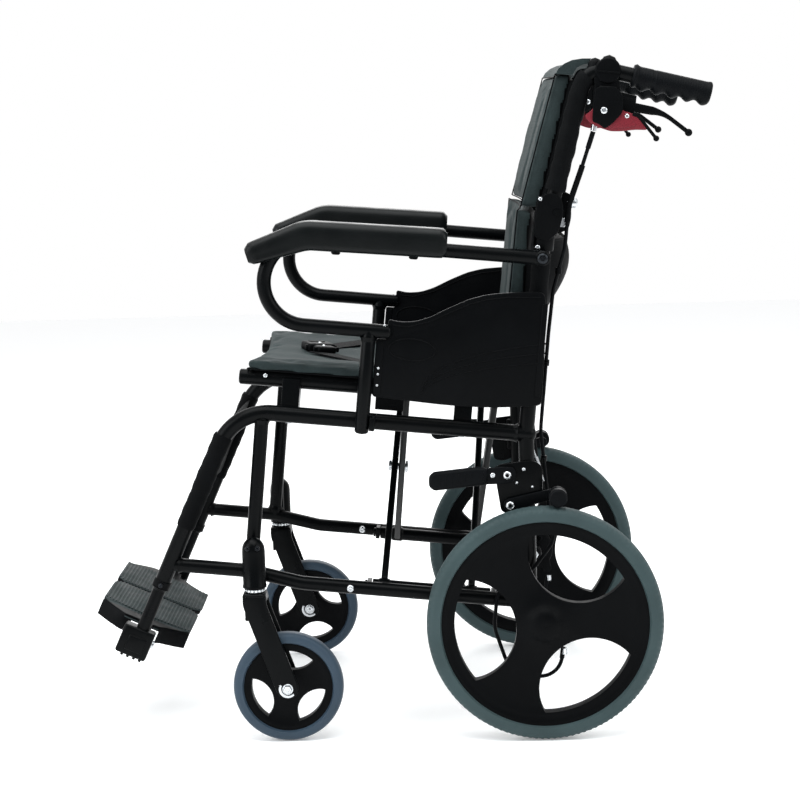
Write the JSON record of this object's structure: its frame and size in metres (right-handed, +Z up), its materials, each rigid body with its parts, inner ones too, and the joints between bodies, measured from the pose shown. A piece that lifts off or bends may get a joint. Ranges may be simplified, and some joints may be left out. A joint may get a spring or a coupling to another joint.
{
  "type": "manual wheelchair",
  "caption": "Folding transit wheelchair with cross-braced side frames, swivel casters, spoked rear wheels, fold-down back, flip-up arms and footplates.",
  "frame": {"origin": "centre of the bounding box on the floor", "axes": "+Z up, -Y the way the sitter faces, +X the sitter's left"},
  "size_m": [0.553, 0.8525, 0.9095],
  "materials": {
    "frame_black": "glossy black powder coat",
    "black_plastic": "black moulded plastic",
    "black_rubber": "black rubber",
    "rear_tyre": "grey-teal solid tyre",
    "caster_tyre": "blue-grey solid tyre",
    "seat_fabric": "dark teal-grey woven nylon",
    "dark_fabric": "black nylon",
    "ribbed_grey": "grey ribbed plastic",
    "steel": "bright zinc-plated steel",
    "red_plastic": "crimson moulded plastic"
  },
  "bodies": {
    "left_frame": {"left_side_frame": "frame_black", "left_back_hinge": "black_plastic", "left_rear_axle": "steel", "left_hub_brake": "steel", "left_lock_bracket": "frame_black", "left_brake_cable": "black_rubber", "seat_sling": "seat_fabric", "back_lower": "seat_fabric", "back_pouch": "dark_fabric", "calf_strap": "dark_fabric", "left_lap_belt": "dark_fabric", "belt_buckle": "black_plastic"},
    "left_brace": {"left_brace": "frame_black", "right_seat_rail": "frame_black"},
    "right_brace": {"right_brace": "frame_black", "left_seat_rail": "frame_black"},
    "right_frame": {"right_side_frame": "frame_black", "right_back_hinge": "black_plastic", "right_rear_axle": "steel", "right_hub_brake": "steel", "right_lock_bracket": "frame_black", "right_brake_cable": "black_rubber", "right_lap_belt": "dark_fabric"},
    "left_back": {"left_back_cane": "frame_black", "left_hand_grip": "black_rubber", "left_brake_clamp": "black_plastic", "back_upper": "seat_fabric"},
    "right_back": {"right_back_cane": "frame_black", "right_hand_grip": "black_rubber", "right_brake_clamp": "black_plastic"},
    "left_brake_lever": {"left_brake_lever": "frame_black"},
    "right_brake_lever": {"right_brake_lever": "frame_black"},
    "left_parking_lever": {"left_parking_lever": "red_plastic"},
    "right_parking_lever": {"right_parking_lever": "red_plastic"},
    "left_arm": {"left_armrest": "frame_black", "left_arm_pad": "black_rubber", "left_side_guard": "black_plastic"},
    "right_arm": {"right_armrest": "frame_black", "right_arm_pad": "black_rubber", "right_side_guard": "black_plastic"},
    "left_foot": {"left_foot_tube": "frame_black"},
    "right_foot": {"right_foot_tube": "frame_black"},
    "left_plate": {"left_footplate": "ribbed_grey"},
    "right_plate": {"right_footplate": "ribbed_grey"},
    "left_caster": {"left_caster_fork": "frame_black", "left_caster_axle": "steel"},
    "right_caster": {"right_caster_fork": "frame_black", "right_caster_axle": "steel"},
    "left_caster_wheel": {"left_caster_rim": "black_plastic", "left_caster_tyre": "caster_tyre"},
    "right_caster_wheel": {"right_caster_rim": "black_plastic", "right_caster_tyre": "caster_tyre"},
    "left_rear_wheel": {"left_rear_rim": "black_plastic", "left_rear_tyre": "rear_tyre"},
    "right_rear_wheel": {"right_rear_rim": "black_plastic", "right_rear_tyre": "rear_tyre"},
    "left_lock_lever": {"left_lock_lever": "black_rubber"},
    "right_lock_lever": {"right_lock_lever": "black_rubber"},
    "left_lock_shoe": {"left_lock_shoe": "black_rubber"},
    "right_lock_shoe": {"right_lock_shoe": "black_rubber"}
  },
  "joints": [
    {"name": "fold", "type": "hinge", "parent": "left_frame", "child": "left_brace", "pos_m": [0.184, 0.03784, 0.19165], "axis": [0, 0.9942, -0.108], "range_deg": [0, 32], "deforming": ["seat_sling", "back_lower", "back_pouch", "back_upper", "calf_strap", "left_lap_belt", "right_lap_belt", "belt_buckle"]},
    {"name": "brace_cross", "type": "hinge", "parent": "left_brace", "child": "right_brace", "pos_m": [0, 0.05263, 0.32784], "axis": [0, 0.9942, -0.108], "range_deg": [-64, 0]},
    {"name": "right_side_swing", "type": "hinge", "parent": "right_brace", "child": "right_frame", "pos_m": [-0.184, 0.03784, 0.19165], "axis": [0, 0.9942, -0.108], "range_deg": [0, 32]},
    {"name": "left_back_fold", "type": "hinge", "parent": "left_frame", "child": "left_back", "pos_m": [0.205, 0.21835, 0.70515], "axis": [-1, 0, 0], "range_deg": [0, 110], "deforming": ["left_brake_cable"]},
    {"name": "right_back_fold", "type": "hinge", "parent": "right_frame", "child": "right_back", "pos_m": [-0.205, 0.21835, 0.70515], "axis": [-1, 0, 0], "range_deg": [0, 110], "deforming": ["right_brake_cable"]},
    {"name": "left_arm_flip", "type": "hinge", "parent": "left_frame", "child": "left_arm", "pos_m": [0.2305, 0.19784, 0.64602], "axis": [-1, 0, 0], "range_deg": [0, 76]},
    {"name": "right_arm_flip", "type": "hinge", "parent": "right_frame", "child": "right_arm", "pos_m": [-0.2305, 0.19784, 0.64602], "axis": [-1, 0, 0], "range_deg": [0, 76]},
    {"name": "left_foot_height", "type": "slide", "parent": "left_frame", "child": "left_foot", "axis": [0, -0.4163, -0.9092], "range_m": [-0.012, 0.05]},
    {"name": "right_foot_height", "type": "slide", "parent": "right_frame", "child": "right_foot", "axis": [0, -0.4163, -0.9092], "range_m": [-0.012, 0.05]},
    {"name": "left_plate_flip", "type": "hinge", "parent": "left_foot", "child": "left_plate", "pos_m": [0.165, -0.37036, 0.12763], "axis": [0, 0.9092, -0.4163], "range_deg": [0, 90]},
    {"name": "right_plate_flip", "type": "hinge", "parent": "right_foot", "child": "right_plate", "pos_m": [-0.165, -0.37036, 0.12763], "axis": [0, -0.9092, 0.4163], "range_deg": [0, 90]},
    {"name": "left_caster_swivel", "type": "hinge", "parent": "left_frame", "child": "left_caster", "pos_m": [0.233, -0.1998, 0.212], "axis": [0, 0, 1], "continuous": true},
    {"name": "right_caster_swivel", "type": "hinge", "parent": "right_frame", "child": "right_caster", "pos_m": [-0.233, -0.1998, 0.212], "axis": [0, 0, 1], "continuous": true},
    {"name": "left_caster_roll", "type": "hinge", "parent": "left_caster", "child": "left_caster_wheel", "pos_m": [0.233, -0.1588, 0.075], "axis": [1, 0, 0], "continuous": true},
    {"name": "right_caster_roll", "type": "hinge", "parent": "right_caster", "child": "right_caster_wheel", "pos_m": [-0.233, -0.1588, 0.075], "axis": [1, 0, 0], "continuous": true},
    {"name": "left_rear_roll", "type": "hinge", "parent": "left_frame", "child": "left_rear_wheel", "pos_m": [0.255, 0.1902, 0.159], "axis": [1, 0, 0], "continuous": true},
    {"name": "right_rear_roll", "type": "hinge", "parent": "right_frame", "child": "right_rear_wheel", "pos_m": [-0.255, 0.1902, 0.159], "axis": [1, 0, 0], "continuous": true},
    {"name": "left_brake_squeeze", "type": "hinge", "parent": "left_back", "child": "left_brake_lever", "pos_m": [0.205, 0.28934, 0.84933], "axis": [1, 0, 0], "range_deg": [0, 13], "stiffness_Nm_per_rad": 1.5, "springref_deg": -8.59},
    {"name": "right_brake_squeeze", "type": "hinge", "parent": "right_back", "child": "right_brake_lever", "pos_m": [-0.205, 0.28934, 0.84933], "axis": [1, 0, 0], "range_deg": [0, 13], "stiffness_Nm_per_rad": 1.5, "springref_deg": -8.59},
    {"name": "left_parking_latch", "type": "hinge", "parent": "left_back", "child": "left_parking_lever", "pos_m": [0.205, 0.28934, 0.84933], "axis": [1, 0, 0], "range_deg": [0, 16]},
    {"name": "right_parking_latch", "type": "hinge", "parent": "right_back", "child": "right_parking_lever", "pos_m": [-0.205, 0.28934, 0.84933], "axis": [1, 0, 0], "range_deg": [0, 16]},
    {"name": "left_lock_release", "type": "hinge", "parent": "left_frame", "child": "left_lock_lever", "pos_m": [0.222, 0.1447, 0.356], "axis": [-1, 0, 0], "range_deg": [0, 40]},
    {"name": "right_lock_release", "type": "hinge", "parent": "right_frame", "child": "right_lock_lever", "pos_m": [-0.222, 0.1447, 0.356], "axis": [-1, 0, 0], "range_deg": [0, 40]},
    {"name": "left_shoe_lift", "type": "hinge", "parent": "left_frame", "child": "left_lock_shoe", "pos_m": [0.222, 0.1477, 0.315], "axis": [1, 0, 0], "range_deg": [0, 20]},
    {"name": "right_shoe_lift", "type": "hinge", "parent": "right_frame", "child": "right_lock_shoe", "pos_m": [-0.222, 0.1477, 0.315], "axis": [1, 0, 0], "range_deg": [0, 20]}
  ],
  "couplings": [
    {"joint": "brace_cross", "follows": "fold", "ratio": -2},
    {"joint": "right_side_swing", "follows": "fold", "ratio": 1},
    {"joint": "left_plate_flip", "follows": "fold", "ratio": 2.8125},
    {"joint": "right_plate_flip", "follows": "fold", "ratio": 2.8125},
    {"joint": "right_back_fold", "follows": "left_back_fold", "ratio": 1},
    {"joint": "left_shoe_lift", "follows": "left_lock_release", "ratio": 0.5},
    {"joint": "right_shoe_lift", "follows": "right_lock_release", "ratio": 0.5}
  ]
}
